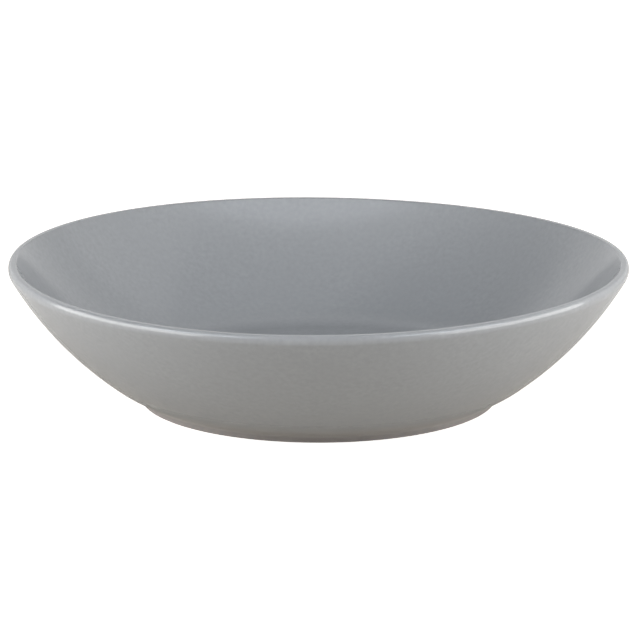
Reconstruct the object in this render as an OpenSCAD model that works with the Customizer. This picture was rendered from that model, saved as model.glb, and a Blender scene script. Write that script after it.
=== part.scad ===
// Wide, shallow pasta bowl in glazed stoneware, on a low foot ring.
// The clay body is one turned form, and a satin glaze covers all of it but the ring it stands on.
// +Z is up, and the origin is the centre of the foot ring's contact plane. Sizes are in millimetres.

/* [Bowl] */
// Diameter over the lip
rim_d = 230; // [200:1:260]
// Height from the table to the top of the lip
bowl_h = 53; // [44:0.5:62]
// Thickness of the wall
wall_t = 4; // [3:0.1:6]
// Radius of the wall's long curve, on the outside
wall_r = 134; // [100:1:260]
// Radius of the tighter curve where the wall turns under, on the outside
belly_r = 46; // [20:1:52]
// How far the wall turns in that tighter curve, in degrees
belly_turn = 16.5; // [8:0.5:24]

/* [Lip] */
// Radius of the lip's soft outer round
lip_round_r = 1.8; // [1:0.1:3]
// Radius of the lip's crisper inner edge
lip_edge_r = 0.8; // [0.6:0.1:1.5]

/* [Well] */
// Thickness of the base, from the recess below it to the floor of the well
base_t = 5; // [3.5:0.1:8]
// Radius of the blend from the floor into the wall
well_blend_r = 12; // [6:0.5:24]

/* [Foot ring] */
// Outside diameter of the foot ring at the table
foot_d = 133; // [112:1:150]
// Height of the foot ring's outer face, up to the wall
foot_h = 3; // [2.2:0.1:6]
// Width of the foot ring at the table
foot_w = 6; // [4:0.1:10]
// Lean of the foot ring's two faces from upright, in degrees
foot_lean = 20; // [2:1:24]
// Radius of the fillet between the foot ring and the wall
foot_fillet_r = 4; // [0.5:0.1:6]
// Radius of the foot ring's two lower edges, in the clay
foot_edge_r = 0.8; // [0.6:0.1:1.2]
// How much higher the recess inside the foot ring goes than its outer face
recess_step = 1; // [0:0.1:2.5]
// Radius of the fillet round the top of the recess
recess_fillet_r = 2; // [0.5:0.1:4]

/* [Glaze] */
// Thickness of the fired glaze
glaze_t = 0.4; // [0.2:0.05:0.6]
// Height of the glaze's lower edges above the table
glaze_lift = 0.1; // [0.05:0.05:0.25]

/* [Hidden] */

clay_colour = "#b8a48c";
glaze_colour = "#97999b";
// The most that a chord of an outline stands off its arc
chord_gap = 0.004;
turn_steps = 180;

// Geometry of arcs. An arc gives its points in order, and first = 1 leaves out the one it shares with the arc before.
function ray(a) = [cos(a), sin(a)];
function angle(v) = atan2(v.y, v.x);
function steps(r, turn) = max(2, ceil(abs(turn) / (2 * acos(1 - chord_gap / r))));
function arc(c, r, a0, a1, first = 0) =
    let (n = steps(r, a1 - a0))
    [for (i = [first : n]) c + r * ray(a0 + (a1 - a0) * i / n)];
function reversed(path) = [for (i = [len(path) - 1 : -1 : 0]) path[i]];

// Where the circles of radius ra round a and rb round b cross, on the left of the way from a to b
function crossing(a, ra, b, rb) =
    let (
        gap = norm(b - a),
        along = (b - a) / gap,
        reach = (gap * gap + ra * ra - rb * rb) / (2 * gap)
    )
    a + reach * along + sqrt(ra * ra - reach * reach) * [-along.y, along.x];

// The most of the wall's thickness that the lip's outer round and inner edge may take
round_share = 0.55;
edge_share = 0.25;
// The most of a face on the foot ring that the fillet above it may take
fillet_share = 0.9;

// The wall runs from the heel, on top of the foot, to the lip. Seen with the heel level, the belly ends and the long
// curve starts once the wall has turned by belly_turn. The whole is then swung round the heel until the long curve
// touches the lip's outer round, which gives the slope at the foot.
round_r = min(lip_round_r, round_share * wall_t);
round_c = [rim_d / 2 - round_r, bowl_h - round_r];
foot_r = foot_d / 2;
heel = [foot_r + foot_h * tan(foot_lean), foot_h];
level_c = [0, belly_r] + (wall_r - belly_r) * ray(90 + belly_turn);
wall_c = crossing(heel, norm(level_c), round_c, wall_r - round_r);
foot_slope = angle(wall_c - heel) - angle(level_c);
belly_c = heel + belly_r * ray(90 + foot_slope);
round_turn = angle(round_c - wall_c);
joint_turn = angle(belly_c - wall_c);

// The wall is evenly thick, and the lip's inner edge lies between its inside and the lip's flat top
wall_inner_r = wall_r - wall_t;
belly_inner_r = belly_r - wall_t;
edge_r = min(lip_edge_r, edge_share * wall_t);
edge_z = bowl_h - edge_r;
edge_c = [wall_c.x + sqrt(pow(wall_inner_r + edge_r, 2) - pow(wall_c.y - edge_z, 2)), edge_z];
edge_turn = angle(edge_c - wall_c);

// The well's blend touches the flat floor and the inside of the wall, on the belly where that comes down far enough
// and else on the long curve
recess_h = foot_h + recess_step;
floor_z = recess_h + base_t;
well_z = floor_z + well_blend_r;
joint_blend_z = belly_c.y + (belly_inner_r - well_blend_r) * sin(joint_turn);
on_belly = joint_blend_z > well_z;
side_c = on_belly ? belly_c : wall_c;
side_r = on_belly ? belly_inner_r : wall_inner_r;
well_c = [side_c.x + sqrt(pow(side_r - well_blend_r, 2) - pow(side_c.y - well_z, 2)), well_z];
well_turn = angle(well_c - side_c);

// The fillet between foot and wall keeps to the straight part of the foot's face
lean_tan = tan(foot_lean);
lean_cos = cos(foot_lean);
face_length = (foot_h - foot_edge_r) / lean_cos;
fillet_max = fillet_share * face_length * tan((90 + foot_slope + foot_lean) / 2);
fillet_r = min(foot_fillet_r, fillet_max);
face_out = ray(-foot_lean);
face_up = ray(90 - foot_lean);
fillet_base = [foot_r, 0] + fillet_r * face_out;
fillet_gap = fillet_base - belly_c;
fillet_rise = -fillet_gap * face_up
    - sqrt(pow(fillet_gap * face_up, 2) - fillet_gap * fillet_gap + pow(belly_r + fillet_r, 2));
fillet_c = fillet_base + fillet_rise * face_up;

// The ring itself is clay: its outer face lies under the glaze, and its inner face leans towards the axis
ring_outer_r = foot_r - glaze_t / lean_cos;
ring_inner_r = ring_outer_r - foot_w;
edge_inset = foot_edge_r / lean_cos - foot_edge_r * lean_tan;
outer_edge_c = [ring_outer_r - edge_inset, foot_edge_r];
inner_edge_c = [ring_inner_r + edge_inset, foot_edge_r];

// The recess's fillet also keeps to the straight part of its face
recess_r = min(recess_fillet_r, fillet_share * (recess_h - foot_edge_r));
recess_z = recess_h - recess_r;
recess_c = [ring_inner_r - recess_z * lean_tan - (glaze_t + recess_r) / lean_cos, recess_z];

// Outlines in the plane of the axis, as [radius, height]. depth is measured into the bowl from its glazed surface,
// so 0 is the glaze's surface and glaze_t is the clay's. The glaze runs on round the ring's lower edges and stops
// just above the table.
function foot_edge_skin_r(depth) = foot_edge_r + glaze_t - depth;
function glaze_end_turn(depth) = asin((foot_edge_r - glaze_lift) / foot_edge_skin_r(depth));
function bowl_skin(depth) = concat(
    arc(outer_edge_c, foot_edge_skin_r(depth), -glaze_end_turn(depth), -foot_lean),
    arc(fillet_c, fillet_r + depth, 180 - foot_lean, angle(belly_c - fillet_c)),
    arc(belly_c, belly_r - depth, angle(fillet_c - belly_c), joint_turn, 1),
    arc(wall_c, wall_r - depth, joint_turn, round_turn, 1),
    arc(round_c, round_r - depth, round_turn, 90, 1),
    arc(edge_c, edge_r - depth, 90, edge_turn + 180),
    arc(wall_c, wall_inner_r + depth, edge_turn, on_belly ? joint_turn : well_turn, 1),
    on_belly ? arc(belly_c, belly_inner_r + depth, joint_turn, well_turn, 1) : [],
    arc(well_c, well_blend_r + depth, well_turn, -90, 1),
    [[0, floor_z - depth]]
);
function recess_skin(depth) = concat(
    [[0, recess_h + depth]],
    arc(recess_c, recess_r + depth, 90, foot_lean),
    arc(inner_edge_c, foot_edge_skin_r(depth), 180 + foot_lean, 180 + glaze_end_turn(depth))
);

// The bare sole of the ring, between the two glazes
sole_turn = glaze_end_turn(glaze_t);
sole = concat(
    arc(inner_edge_c, foot_edge_r, 180 + sole_turn, 270, 1),
    reversed(arc(outer_edge_c, foot_edge_r, -sole_turn, -90, 1))
);

module turned(outline) {
    rotate_extrude($fn = turn_steps) polygon(outline);
}

// Wall, lip, base and foot ring: one piece of fired clay
module stoneware_body() {
    color(clay_colour) turned(concat(recess_skin(glaze_t), sole, bowl_skin(glaze_t)));
}

// One coat from the foot ring's outer edge, over the lip, to the middle of the well
module glaze_coat() {
    color(glaze_colour) turned(concat(bowl_skin(0), reversed(bowl_skin(glaze_t))));
}

// The same glaze in the recess, which the bare sole parts from the main coat
module base_glaze() {
    color(glaze_colour) turned(concat(recess_skin(0), reversed(recess_skin(glaze_t))));
}

stoneware_body();
glaze_coat();
base_glaze();
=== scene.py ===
import math

import bpy
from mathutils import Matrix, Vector


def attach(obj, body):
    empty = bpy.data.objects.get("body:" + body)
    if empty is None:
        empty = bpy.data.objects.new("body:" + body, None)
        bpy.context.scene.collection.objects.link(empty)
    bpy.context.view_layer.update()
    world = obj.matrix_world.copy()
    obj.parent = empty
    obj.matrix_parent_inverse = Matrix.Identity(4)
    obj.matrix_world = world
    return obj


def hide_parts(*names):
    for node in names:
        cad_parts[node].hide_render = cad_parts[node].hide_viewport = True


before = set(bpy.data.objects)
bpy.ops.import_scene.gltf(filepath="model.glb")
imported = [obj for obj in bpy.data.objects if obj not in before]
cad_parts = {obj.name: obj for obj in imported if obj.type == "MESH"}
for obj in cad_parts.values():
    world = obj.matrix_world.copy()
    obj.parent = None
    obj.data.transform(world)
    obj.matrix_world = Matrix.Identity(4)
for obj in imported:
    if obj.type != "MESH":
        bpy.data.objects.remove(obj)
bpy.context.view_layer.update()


# Stoneware body: wall, lip, base and foot ring in one piece of buff clay, jiggered on a wheel head and fired.
# The outline is a chain of arcs in the plane of the axis, and it is turned once round. Only the ring that the
# bowl stands on stays bare, because glaze there would stick to the kiln shelf.

# Sizes in millimetres, over the glaze, and turns in radians.
MM = 0.001
QUARTER = math.pi / 2
RIM_D = 230.0
BOWL_H = 53.0
WALL_T = 4.0
# The outside of the wall: a tighter belly above the foot, then one long curve.
BELLY_R = 46.0
BELLY_TURN = math.radians(16.5)
WALL_R = 134.0
# The lip, from the wall upwards and over: shoulder, soft round, small top round, and a crisp inner edge.
LIP_SHOULDER_R = 3.3
LIP_ROUND_R = 2.6
LIP_TOP_TURN = math.radians(40.0)
LIP_TOP_R = 1.0
LIP_EDGE_R = 0.8
# The base, and the blend from the well's floor into the wall.
BASE_T = 6.0
WELL_BLEND_R = 24.0
# The foot ring, whose two faces lean in towards the table, and the recess inside it.
FOOT_D = 133.0
FOOT_H = 3.0
FOOT_W = 6.0
FOOT_LEAN = math.radians(20.0)
FOOT_FILLET_R = 4.0
FOOT_EDGE_R = 0.8
RECESS_H = 4.0
RECESS_FILLET_R = 2.0
# The fired glaze, and how far above the table it stops.
GLAZE_T = 0.4
GLAZE_LIFT = 0.1
# The kiln's warp, full at the rim and none at the foot: a saddle, a tilt to one side, and a lowering that keeps
# the highest part of the rim under the bowl's height.
WARP_RISE = 0.786
WARP_BEARING = math.radians(18.4)
WARP_TILT = -0.18
WARP_LOWERING = 1.04
WARP_POWER = 1.5


def at(centre, radius, turn):
    return Vector((centre[0] + radius * math.cos(turn), centre[1] + radius * math.sin(turn)))


def heading(start, end):
    return math.atan2(end[1] - start[1], end[0] - start[0])


def arc(centre, radius, start, end, steps, first=0):
    return [at(centre, radius, start + (end - start) * i / steps) for i in range(first, steps + 1)]


def leg(long_side, short_side):
    return math.sqrt(long_side ** 2 - short_side ** 2)


# The lip's three outer rounds touch each other, and the whole wall is swung round the heel until its long curve
# touches the lowest of them.
round_z = BOWL_H - LIP_TOP_R - (LIP_ROUND_R - LIP_TOP_R) * math.sin(LIP_TOP_TURN)
round_c = Vector((RIM_D / 2 - LIP_ROUND_R, round_z))
top_c = at(round_c, LIP_ROUND_R - LIP_TOP_R, LIP_TOP_TURN)
shoulder_c = Vector((RIM_D / 2 - LIP_SHOULDER_R, round_z))
heel = Vector((FOOT_D / 2 + FOOT_H * math.tan(FOOT_LEAN), FOOT_H))
level_c = Vector((0, BELLY_R)) + at((0, 0), WALL_R - BELLY_R, QUARTER + BELLY_TURN)
gap = (shoulder_c - heel).length
along = (shoulder_c - heel) / gap
reach = (gap ** 2 + level_c.length_squared - (WALL_R - LIP_SHOULDER_R) ** 2) / (2 * gap)
wall_c = heel + reach * along + leg(level_c.length, reach) * Vector((-along.y, along.x))
foot_slope = heading(heel, wall_c) - heading((0, 0), level_c)
belly_c = at(heel, BELLY_R, QUARTER + foot_slope)
shoulder_turn = heading(wall_c, shoulder_c)
joint_turn = heading(wall_c, belly_c)

# The inside of the wall, between the lip's inner edge and the well's blend.
wall_in_r = WALL_R - WALL_T
edge_z = BOWL_H - LIP_EDGE_R
edge_c = Vector((wall_c.x + leg(wall_in_r + LIP_EDGE_R, wall_c.y - edge_z), edge_z))
edge_turn = heading(wall_c, edge_c)
floor_z = RECESS_H + BASE_T
well_z = floor_z + WELL_BLEND_R
well_c = Vector((wall_c.x + leg(wall_in_r - WELL_BLEND_R, wall_c.y - well_z), well_z))
well_turn = heading(wall_c, well_c)

# The foot ring's faces, fillets and lower edges.
lean_tan = math.tan(FOOT_LEAN)
lean_cos = math.cos(FOOT_LEAN)
face_up = at((0, 0), 1, QUARTER - FOOT_LEAN)
fillet_base = Vector((FOOT_D / 2, 0)) + at((0, 0), FOOT_FILLET_R, -FOOT_LEAN)
fillet_gap = fillet_base - belly_c
fillet_rise = -fillet_gap.dot(face_up) - math.sqrt(
    fillet_gap.dot(face_up) ** 2 - fillet_gap.length_squared + (BELLY_R + FOOT_FILLET_R) ** 2)
fillet_c = fillet_base + fillet_rise * face_up
ring_out_r = FOOT_D / 2 - GLAZE_T / lean_cos
ring_in_r = ring_out_r - FOOT_W
edge_set = FOOT_EDGE_R / lean_cos - FOOT_EDGE_R * lean_tan
outer_edge_c = Vector((ring_out_r - edge_set, FOOT_EDGE_R))
inner_edge_c = Vector((ring_in_r + edge_set, FOOT_EDGE_R))
recess_z = RECESS_H - RECESS_FILLET_R
recess_c = Vector((ring_in_r - recess_z * lean_tan - (GLAZE_T + RECESS_FILLET_R) / lean_cos, recess_z))


def glaze_end(depth):
    """How far round the ring's lower edge the skin at this depth goes before it stops just above the table."""
    return math.asin((FOOT_EDGE_R - GLAZE_LIFT) / (FOOT_EDGE_R + GLAZE_T - depth))


def bowl_skin(depth, fine):
    """The outline from the foot over the lip to the middle of the well, depth mm below the glaze's surface.

    An arc is centre, radius, start, end and steps at fine = 1. A last 1 leaves out the point it shares with the
    arc before.
    """
    skin = []
    for centre, radius, start, end, steps, first in (
            (outer_edge_c, FOOT_EDGE_R + GLAZE_T - depth, -glaze_end(depth), -FOOT_LEAN, 4, 0),
            (fillet_c, FOOT_FILLET_R + depth, math.pi - FOOT_LEAN, heading(fillet_c, belly_c), 6, 0),
            (belly_c, BELLY_R - depth, heading(belly_c, fillet_c), joint_turn, 14, 1),
            (wall_c, WALL_R - depth, joint_turn, shoulder_turn, 32, 1),
            (shoulder_c, LIP_SHOULDER_R - depth, shoulder_turn, 0, 6, 1),
            (round_c, LIP_ROUND_R - depth, 0, LIP_TOP_TURN, 8, 1),
            (top_c, LIP_TOP_R - depth, LIP_TOP_TURN, QUARTER, 6, 1),
            (edge_c, LIP_EDGE_R - depth, QUARTER, edge_turn + math.pi, 8, 0),
            (wall_c, wall_in_r + depth, edge_turn, well_turn, 46, 1),
            (well_c, WELL_BLEND_R + depth, well_turn, -QUARTER, 18, 1)):
        skin += arc(centre, radius, start, end, max(2, round(steps * fine)), first)
    floor_steps = round(12 * fine)
    floor = [Vector((well_c.x * (1 - i / floor_steps), floor_z - depth)) for i in range(1, floor_steps + 1)]
    return skin + floor


def recess_skin(depth):
    """The outline of the recess under the base, from the axis to the foot ring's inner lower edge."""
    ceiling_steps = 8
    return (
        [Vector((recess_c.x * i / ceiling_steps, RECESS_H + depth)) for i in range(ceiling_steps)]
        + arc(recess_c, RECESS_FILLET_R + depth, QUARTER, FOOT_LEAN, 8)
        + arc(inner_edge_c, FOOT_EDGE_R + GLAZE_T - depth, math.pi + FOOT_LEAN, math.pi + glaze_end(depth), 4)
    )


def add(tree, kind, links=(), **settings):
    """Adds one node. A link is (input, output socket or value); a setting is a property of the node."""
    node = tree.nodes.new(kind)
    for name, value in settings.items():
        setattr(node, name, value)
    for socket, source in links:
        if isinstance(source, bpy.types.NodeSocket):
            tree.links.new(source, node.inputs[socket])
        else:
            node.inputs[socket].default_value = source
    return node


# The wheel head: turns an outline once round the axis, closes it, and warps it as the kiln did.
turning = bpy.data.node_groups.new("turned_on_a_wheel_head", "GeometryNodeTree")
for socket_name, socket_kind in (
        ("Outline", "Geometry"), ("Turn steps", "Int"), ("Finish", "Material"),
        ("Rim radius", "Float"), ("Bowl height", "Float"), ("Warp rise", "Float"),
        ("Warp bearing", "Float"), ("Warp tilt", "Float"), ("Warp lowering", "Float")):
    turning.interface.new_socket(socket_name, in_out="INPUT", socket_type="NodeSocket" + socket_kind)
turning.interface.new_socket("Turned form", in_out="OUTPUT", socket_type="NodeSocketGeometry")
given = add(turning, "NodeGroupInput").outputs
wheel_r = 0.05
outline_curve = add(turning, "GeometryNodeMeshToCurve", [("Mesh", given["Outline"])])
placed = add(turning, "GeometryNodeTransform", [
    ("Geometry", outline_curve.outputs["Curve"]), ("Translation", (-wheel_r, 0, 0)), ("Scale", (1, -1, 1))])
wheel = add(turning, "GeometryNodeCurvePrimitiveCircle", [
    ("Resolution", given["Turn steps"]), ("Radius", wheel_r)])
upright = add(turning, "GeometryNodeSetCurveNormal", [("Curve", wheel.outputs["Curve"])], mode="Z_UP")
turned = add(turning, "GeometryNodeCurveToMesh", [
    ("Curve", upright.outputs["Curve"]), ("Profile Curve", placed.outputs["Geometry"])])
outward = add(turning, "GeometryNodeFlipFaces", [("Mesh", turned.outputs["Mesh"])])
closed = add(turning, "GeometryNodeMergeByDistance", [
    ("Geometry", outward.outputs["Mesh"]), ("Distance", 0.001 * MM)])
place = add(turning, "GeometryNodeInputPosition").outputs["Position"]
height = add(turning, "ShaderNodeSeparateXYZ", [("Vector", place)])
unit = add(turning, "ShaderNodeMath", [(0, 1.0), (1, given["Rim radius"])], operation="DIVIDE")
flat = add(turning, "ShaderNodeVectorMath", [(0, place), ("Scale", unit.outputs[0])], operation="SCALE")
swung = add(turning, "ShaderNodeVectorRotate", [
    ("Vector", flat.outputs[0]), ("Angle", given["Warp bearing"])], rotation_type="Z_AXIS")
square = add(turning, "ShaderNodeVectorMath", [
    (0, swung.outputs[0]), (1, swung.outputs[0])], operation="MULTIPLY")
saddle = add(turning, "ShaderNodeVectorMath", [
    (0, square.outputs[0]), (1, (1, -1, 0))], operation="DOT_PRODUCT")
side = add(turning, "ShaderNodeVectorMath", [
    (0, flat.outputs[0]), (1, (1, 0, 0))], operation="DOT_PRODUCT")
tilted = add(turning, "ShaderNodeMath", [
    (0, side.outputs["Value"]), (1, given["Warp tilt"]), (2, given["Warp lowering"])], operation="MULTIPLY_ADD")
warped = add(turning, "ShaderNodeMath", [
    (0, saddle.outputs["Value"]), (1, given["Warp rise"]), (2, tilted.outputs[0])], operation="MULTIPLY_ADD")
level = add(turning, "ShaderNodeMath", [
    (0, height.outputs["Z"]), (1, given["Bowl height"])], operation="DIVIDE")
share = add(turning, "ShaderNodeMath", [(0, level.outputs[0]), (1, WARP_POWER)], operation="POWER")
shift = add(turning, "ShaderNodeMath", [(0, share.outputs[0]), (1, warped.outputs[0])], operation="MULTIPLY")
offset = add(turning, "ShaderNodeCombineXYZ", [("Z", shift.outputs[0])])
fired = add(turning, "GeometryNodeSetPosition", [
    ("Geometry", closed.outputs["Geometry"]), ("Offset", offset.outputs[0])])
smooth = add(turning, "GeometryNodeSetShadeSmooth", [("Geometry", fired.outputs["Geometry"])])
real = add(turning, "GeometryNodeRealizeInstances", [("Geometry", smooth.outputs["Geometry"])])
finished = add(turning, "GeometryNodeSetMaterial", [
    ("Geometry", real.outputs["Geometry"]), ("Material", given["Finish"])])
add(turning, "NodeGroupOutput", [("Turned form", finished.outputs["Geometry"])])


def turned_piece(name, outline, finish):
    """One closed piece, turned from an outline in mm, as a plain mesh that rides on the bowl."""
    chain = bpy.data.meshes.new(name + "_outline")
    points = [(p.x * MM, p.y * MM, 0) for p in outline]
    count = len(points)
    on_axis = points[0][0] < 1e-9 and points[-1][0] < 1e-9
    edges = [(i, i + 1) for i in range(count - 1)] + ([] if on_axis else [(count - 1, 0)])
    chain.from_pydata(points, edges, [])
    piece = bpy.data.objects.new(name, chain)
    bpy.context.scene.collection.objects.link(piece)
    lathe = piece.modifiers.new("turning", "NODES")
    lathe.node_group = turning
    inputs = {s.name: s.identifier for s in turning.interface.items_tree if s.in_out == "INPUT"}
    lathe[inputs["Turn steps"]] = 360
    lathe[inputs["Finish"]] = finish
    lathe[inputs["Rim radius"]] = RIM_D / 2 * MM
    lathe[inputs["Bowl height"]] = BOWL_H * MM
    lathe[inputs["Warp rise"]] = WARP_RISE * MM
    lathe[inputs["Warp bearing"]] = WARP_BEARING
    lathe[inputs["Warp tilt"]] = WARP_TILT * MM
    lathe[inputs["Warp lowering"]] = -WARP_LOWERING * MM
    form = bpy.data.meshes.new_from_object(piece.evaluated_get(bpy.context.evaluated_depsgraph_get()))
    piece.modifiers.remove(lathe)
    piece.data = form
    form.name = name
    bpy.data.meshes.remove(chain)
    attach(piece, "root")
    return piece


def linear(hex_colour):
    """An sRGB hex value as linear red, green, blue and alpha."""
    parts = [int(hex_colour[i:i + 2], 16) / 255 for i in (1, 3, 5)]
    return [c / 12.92 if c <= 0.04045 else ((c + 0.055) / 1.055) ** 2.4 for c in parts] + [1.0]


# Bare fired clay is matt and a little sandy to the eye: buff, with grains of grit and a few dark iron specks.
GRIT = 0.6 * MM
CLAY_CLOUD = 9.0 * MM
SPECK_GAP = 1.6 * MM
GRAIN_DEPTH = 0.08 * MM
clay = bpy.data.materials.new("bare_stoneware_clay")
clay.use_nodes = True
clay_tree = clay.node_tree
clay_tree.nodes.clear()
clay_spot = add(clay_tree, "ShaderNodeTexCoord").outputs["Object"]
grit = add(clay_tree, "ShaderNodeTexNoise", [("Vector", clay_spot), ("Scale", 1 / GRIT), ("Detail", 3.0)])
cloud = add(clay_tree, "ShaderNodeTexNoise", [("Vector", clay_spot), ("Scale", 1 / CLAY_CLOUD), ("Detail", 2.0)])
specks = add(clay_tree, "ShaderNodeTexVoronoi", [("Vector", clay_spot), ("Scale", 1 / SPECK_GAP)])
speck = add(clay_tree, "ShaderNodeMapRange", [
    ("Value", specks.outputs["Distance"]),
    ("From Min", 0.08), ("From Max", 0.2), ("To Min", 0.8), ("To Max", 0.0)])
sandy = add(clay_tree, "ShaderNodeMix", [
    ("Factor", grit.outputs["Fac"]), (6, linear("#a8927a")), (7, linear("#c8b59d"))], data_type="RGBA")
cloudy = add(clay_tree, "ShaderNodeMix", [
    ("Factor", cloud.outputs["Fac"]), (6, sandy.outputs[2]), (7, linear("#b39c80"))], data_type="RGBA")
specked = add(clay_tree, "ShaderNodeMix", [
    ("Factor", speck.outputs["Result"]), (6, cloudy.outputs[2]), (7, linear("#6b543f"))], data_type="RGBA")
grain = add(clay_tree, "ShaderNodeBump", [
    ("Height", grit.outputs["Fac"]), ("Strength", 0.6), ("Distance", GRAIN_DEPTH)])
clay_shader = add(clay_tree, "ShaderNodeBsdfPrincipled", [
    ("Base Color", specked.outputs[2]), ("Normal", grain.outputs["Normal"]), ("Roughness", 0.88)])
add(clay_tree, "ShaderNodeOutputMaterial", [("Surface", clay_shader.outputs["BSDF"])])

# Under the glaze the clay's skin needs fewer points than the glaze's own surface.
UNDER_GLAZE_FINE = 0.5
sole_end = glaze_end(GLAZE_T)
sole = (
    arc(inner_edge_c, FOOT_EDGE_R, math.pi + sole_end, math.pi + QUARTER, 6, 1)
    + arc(outer_edge_c, FOOT_EDGE_R, -sole_end, -QUARTER, 6, 1)[::-1]
)
body = turned_piece("clay_body", recess_skin(GLAZE_T) + sole + bowl_skin(GLAZE_T, UNDER_GLAZE_FINE), clay)
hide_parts("stoneware_body")


# Glaze over the bowl: one unbroken coat of grey satin glaze, sprayed on the bisque and fired to the clay. It covers
# the outside, the lip and the inside, and is wiped off the ring that the bowl stands on.

# To the eye a satin glaze has a broad soft sheen with no sharp image in it. Its crystals are too fine to show, so they
# are drawn as clumps of about 2 mm, as a faint mottle and a silky unevenness. The tone drifts a little where the spray
# overlapped. On the foot, where it was sponged thin, the warm clay comes through, and the colour is painted darker
# towards the table as painted shade. In the crease above the foot a pale band is painted light against the crease's
# shade, and the glaze there fired drier.
CLUMP = 1.8 * MM
SPRAY_DRIFT = 22.0 * MM
SILK = 2.2 * MM
SILK_DEPTH = 0.03 * MM
THIN_AND_SHADE_TOP = 8.0 * MM
CREASE_LIGHT_TOP = 10.0 * MM
DRY_FROM = 3.5 * MM
DRY_TOP = 12.0 * MM
glaze = bpy.data.materials.new("grey_satin_glaze")
glaze.use_nodes = True
glaze_tree = glaze.node_tree
glaze_tree.nodes.clear()
glaze_spot = add(glaze_tree, "ShaderNodeTexCoord").outputs["Object"]
glaze_z = add(glaze_tree, "ShaderNodeSeparateXYZ", [("Vector", glaze_spot)]).outputs["Z"]
mottle = add(glaze_tree, "ShaderNodeTexNoise", [("Vector", glaze_spot), ("Scale", 1 / CLUMP), ("Detail", 1.0)])
mottled = add(glaze_tree, "ShaderNodeMix", [
    ("Factor", mottle.outputs["Fac"]), (6, linear("#8d8f91")), (7, linear("#a3a5a7"))], data_type="RGBA")
drift = add(glaze_tree, "ShaderNodeTexNoise", [("Vector", glaze_spot), ("Scale", 1 / SPRAY_DRIFT), ("Detail", 2.0)])
drifted = add(glaze_tree, "ShaderNodeMix", [
    ("Factor", drift.outputs["Fac"]), (6, mottled.outputs[2]), (7, linear("#97999b"))], data_type="RGBA")
# Warmer and darker towards the table: warm clay through the thin glaze, and darker there as painted shade.
thin_and_shade = add(glaze_tree, "ShaderNodeMapRange", [
    ("Value", glaze_z), ("From Max", THIN_AND_SHADE_TOP), ("To Min", 0.35), ("To Max", 0.0)], interpolation_type="SMOOTHSTEP")
thinned_and_shaded = add(glaze_tree, "ShaderNodeMix", [
    ("Factor", thin_and_shade.outputs["Result"]), (6, drifted.outputs[2]), (7, linear("#948379"))], data_type="RGBA")
# A pale band in the crease above the foot: painted light that cancels the shade in the crease.
crease_span = add(glaze_tree, "ShaderNodeMapRange", [("Value", glaze_z), ("From Max", CREASE_LIGHT_TOP)])
painted_crease_light = add(glaze_tree, "ShaderNodeValToRGB", [("Fac", crease_span.outputs["Result"])])
painted_crease_light.color_ramp.interpolation = "EASE"
for share_of_top, amount in ((0.28, 0.54), (0.36, 0.54), (0.50, 0.38)):
    painted_crease_light.color_ramp.elements.new(share_of_top).color = (amount, amount, amount, 1)
painted_crease_light.color_ramp.elements[0].position = 0.18
painted_crease_light.color_ramp.elements[-1].position = 0.90
painted_crease_light.color_ramp.elements[-1].color = (0, 0, 0, 1)
crease_lit = add(glaze_tree, "ShaderNodeMix", [
    ("Factor", painted_crease_light.outputs["Color"]), (6, thinned_and_shaded.outputs[2]), (7, linear("#c2c0bd"))], data_type="RGBA")
silk = add(glaze_tree, "ShaderNodeTexNoise", [("Vector", glaze_spot), ("Scale", 1 / SILK), ("Detail", 2.0)])
sheen = add(glaze_tree, "ShaderNodeMapRange", [
    ("Value", silk.outputs["Fac"]), ("From Min", 0.3), ("From Max", 0.7), ("To Min", 0.15), ("To Max", 0.18)])
dry = add(glaze_tree, "ShaderNodeMapRange", [
    ("Value", glaze_z), ("From Min", DRY_FROM), ("From Max", DRY_TOP), ("To Min", 0.5), ("To Max", 0.0)],
    interpolation_type="SMOOTHSTEP")
gloss = add(glaze_tree, "ShaderNodeMath", [
    (0, sheen.outputs["Result"]), (1, dry.outputs["Result"])], operation="ADD")
peel = add(glaze_tree, "ShaderNodeBump", [
    ("Height", silk.outputs["Fac"]), ("Strength", 0.5), ("Distance", SILK_DEPTH)])
glaze_shader = add(glaze_tree, "ShaderNodeBsdfPrincipled", [
    ("Base Color", crease_lit.outputs[2]), ("Roughness", gloss.outputs[0]), ("Normal", peel.outputs["Normal"]),
    ("IOR", 1.55)])
add(glaze_tree, "ShaderNodeOutputMaterial", [("Surface", glaze_shader.outputs["BSDF"])])

coat = turned_piece("glaze_over_bowl", bowl_skin(GLAZE_T, UNDER_GLAZE_FINE)[::-1] + bowl_skin(0, 1), glaze)
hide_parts("glaze_coat")


# Glaze under the base: a disc of the same glaze in the recess inside the foot ring. It was sprayed with the rest and
# fired to the clay, and the bare sole of the ring parts it from the coat over the bowl.
base = turned_piece("glaze_under_base", recess_skin(0) + recess_skin(GLAZE_T)[::-1], glaze)
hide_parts("base_glaze")


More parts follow.
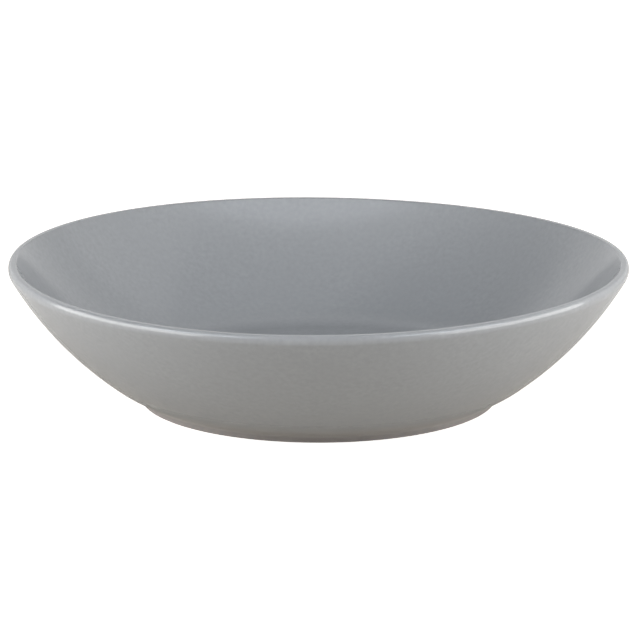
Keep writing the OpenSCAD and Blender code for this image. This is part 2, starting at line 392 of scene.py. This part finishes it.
# Table: a plain matt white top, wide enough to fill the view. It glows for the camera up to plain white, a little less
# near the bowl, where it keeps the shadow, and in reflections away from the bowl.
TABLE_HALF = 4.0
table = bpy.data.meshes.new("table_top")
table.from_pydata([(x * TABLE_HALF, y * TABLE_HALF, 0) for x, y in ((-1, -1), (1, -1), (1, 1), (-1, 1))],
                  [], [(0, 1, 2, 3)])
table_top = bpy.data.objects.new("table_top", table)
bpy.context.scene.collection.objects.link(table_top)
white = bpy.data.materials.new("white_table")
white.use_nodes = True
white_tree = white.node_tree
white_tree.nodes.clear()
table_ray = add(white_tree, "ShaderNodeLightPath")
table_spot = add(white_tree, "ShaderNodeTexCoord")
from_bowl = add(white_tree, "ShaderNodeVectorMath", [(0, table_spot.outputs["Object"])], operation="LENGTH")
open_table = add(white_tree, "ShaderNodeMapRange", [
    ("Value", from_bowl.outputs["Value"]), ("From Min", 0.075), ("From Max", 0.18), ("To Max", 0.4)],
    interpolation_type="SMOOTHSTEP")
far_table = add(white_tree, "ShaderNodeMapRange", [
    ("Value", from_bowl.outputs["Value"]),
    ("From Min", 0.3), ("From Max", 0.7), ("To Min", 0.86), ("To Max", 1.0)])
table_mirrored = add(white_tree, "ShaderNodeMath", [
    (0, table_ray.outputs["Is Glossy Ray"]), (1, table_ray.outputs["Is Transmission Ray"])], operation="MAXIMUM")
mirror_glow = add(white_tree, "ShaderNodeMath", [
    (0, table_mirrored.outputs[0]), (1, open_table.outputs["Result"])], operation="MULTIPLY")
table_glow = add(white_tree, "ShaderNodeMath", [
    (0, table_ray.outputs["Is Camera Ray"]), (1, far_table.outputs["Result"]), (2, mirror_glow.outputs[0])],
    operation="MULTIPLY_ADD")
matt = add(white_tree, "ShaderNodeBsdfDiffuse", [("Color", linear("#dcd6cd"))])
glow = add(white_tree, "ShaderNodeEmission", [("Strength", table_glow.outputs[0])])
lit = add(white_tree, "ShaderNodeAddShader", [(0, matt.outputs[0]), (1, glow.outputs[0])])
add(white_tree, "ShaderNodeOutputMaterial", [("Surface", lit.outputs[0])])
table.materials.append(white)


# Studio: white all round for the camera and in reflections, with one dimmer patch of ceiling high on the left, and
# next to no light of its own on the bowl.
scene = bpy.context.scene
studio = bpy.data.worlds.new("studio")
scene.world = studio
studio.use_nodes = True
studio_tree = studio.node_tree
studio_tree.nodes.clear()
studio_ray = add(studio_tree, "ShaderNodeLightPath")
studio_mirrored = add(studio_tree, "ShaderNodeMath", [
    (0, studio_ray.outputs["Is Glossy Ray"]), (1, studio_ray.outputs["Is Transmission Ray"])], operation="MAXIMUM")
studio_seen = add(studio_tree, "ShaderNodeMath", [
    (0, studio_ray.outputs["Is Camera Ray"]), (1, studio_mirrored.outputs[0])], operation="MAXIMUM")
direction = add(studio_tree, "ShaderNodeTexCoord").outputs["Generated"]
to_ceiling = add(studio_tree, "ShaderNodeVectorMath", [
    (0, direction), (1, (-0.55, 0.25, 0.80))], operation="DOT_PRODUCT")
ceiling = add(studio_tree, "ShaderNodeMapRange", [
    ("Value", to_ceiling.outputs["Value"]),
    ("From Min", 0.78), ("From Max", 0.985), ("To Min", 1.0), ("To Max", 0.4)], interpolation_type="SMOOTHSTEP")
fill = add(studio_tree, "ShaderNodeBackground", [("Color", (1, 1, 1, 1)), ("Strength", 0.02)])
backdrop = add(studio_tree, "ShaderNodeBackground", [
    ("Color", (1, 1, 1, 1)), ("Strength", ceiling.outputs["Result"])])
studio_pick = add(studio_tree, "ShaderNodeMixShader", [
    ("Fac", studio_seen.outputs[0]), (1, fill.outputs[0]), (2, backdrop.outputs[0])])
add(studio_tree, "ShaderNodeOutputWorld", [("Surface", studio_pick.outputs[0])])


# Light: a wide softbox overhead in front, a strip light high at either side, and white panels low at the sides and
# tall on the right. Places and sizes are in metres.
COOL = (0.90, 0.935, 1.0)
BLUISH = (0.84, 0.91, 1.0)
PLAIN = (1.0, 0.99, 0.98)
lamp_aim = Vector((0, 0, 0.02))
for lamp_name, lamp_place, lamp_w, lamp_h, watts, tint in (
        ("softbox", (0.06, -0.795, 1.269), 2.3, 0.28, 2.95, COOL),
        ("strip_left", (-0.867, -0.754, 0.835), 1.05, 0.08, 4.5, BLUISH),
        ("strip_right", (0.867, -0.754, 0.835), 1.05, 0.08, 4.5, BLUISH),
        ("panel_left", (-0.56, -0.19, 0.17), 0.75, 0.33, 3.5, PLAIN),
        ("panel_right", (0.56, -0.19, 0.17), 0.75, 0.33, 3.0, PLAIN),
        ("tall_panel_right", (0.70, 0.10, 0.45), 0.9, 0.7, 0.85, PLAIN)):
    lamp = bpy.data.lights.new(lamp_name, "AREA")
    lamp.shape = "RECTANGLE"
    lamp.size = lamp_w
    lamp.size_y = lamp_h
    lamp.energy = watts
    lamp.color = tint
    lamp_object = bpy.data.objects.new(lamp_name, lamp)
    lamp_object.location = lamp_place
    lamp_object.rotation_euler = (lamp_aim - lamp_object.location).to_track_quat("-Z", "Y").to_euler()
    scene.collection.objects.link(lamp_object)


# Camera: the photograph's view, a long lens a little above the rim. The lens and its shift are worked out from
# pixels of the square image.
IMAGE_W = 640
LENS_PX = 3700
SHIFT_PX = 1.38
CAMERA_AWAY = 1.380
CAMERA_RISE = math.radians(13.94)
camera = bpy.data.cameras.new("camera")
camera.sensor_width = 36.0
camera.lens = LENS_PX * camera.sensor_width / IMAGE_W
camera.shift_x = SHIFT_PX / IMAGE_W
camera_object = bpy.data.objects.new("camera", camera)
camera_aim = Vector((0, 0, 0.02879))
camera_object.location = camera_aim + CAMERA_AWAY * Vector((0, -math.cos(CAMERA_RISE), math.sin(CAMERA_RISE)))
camera_object.rotation_euler = (camera_aim - camera_object.location).to_track_quat("-Z", "Y").to_euler()
scene.collection.objects.link(camera_object)
scene.camera = camera_object
scene.view_settings.view_transform = "Standard"
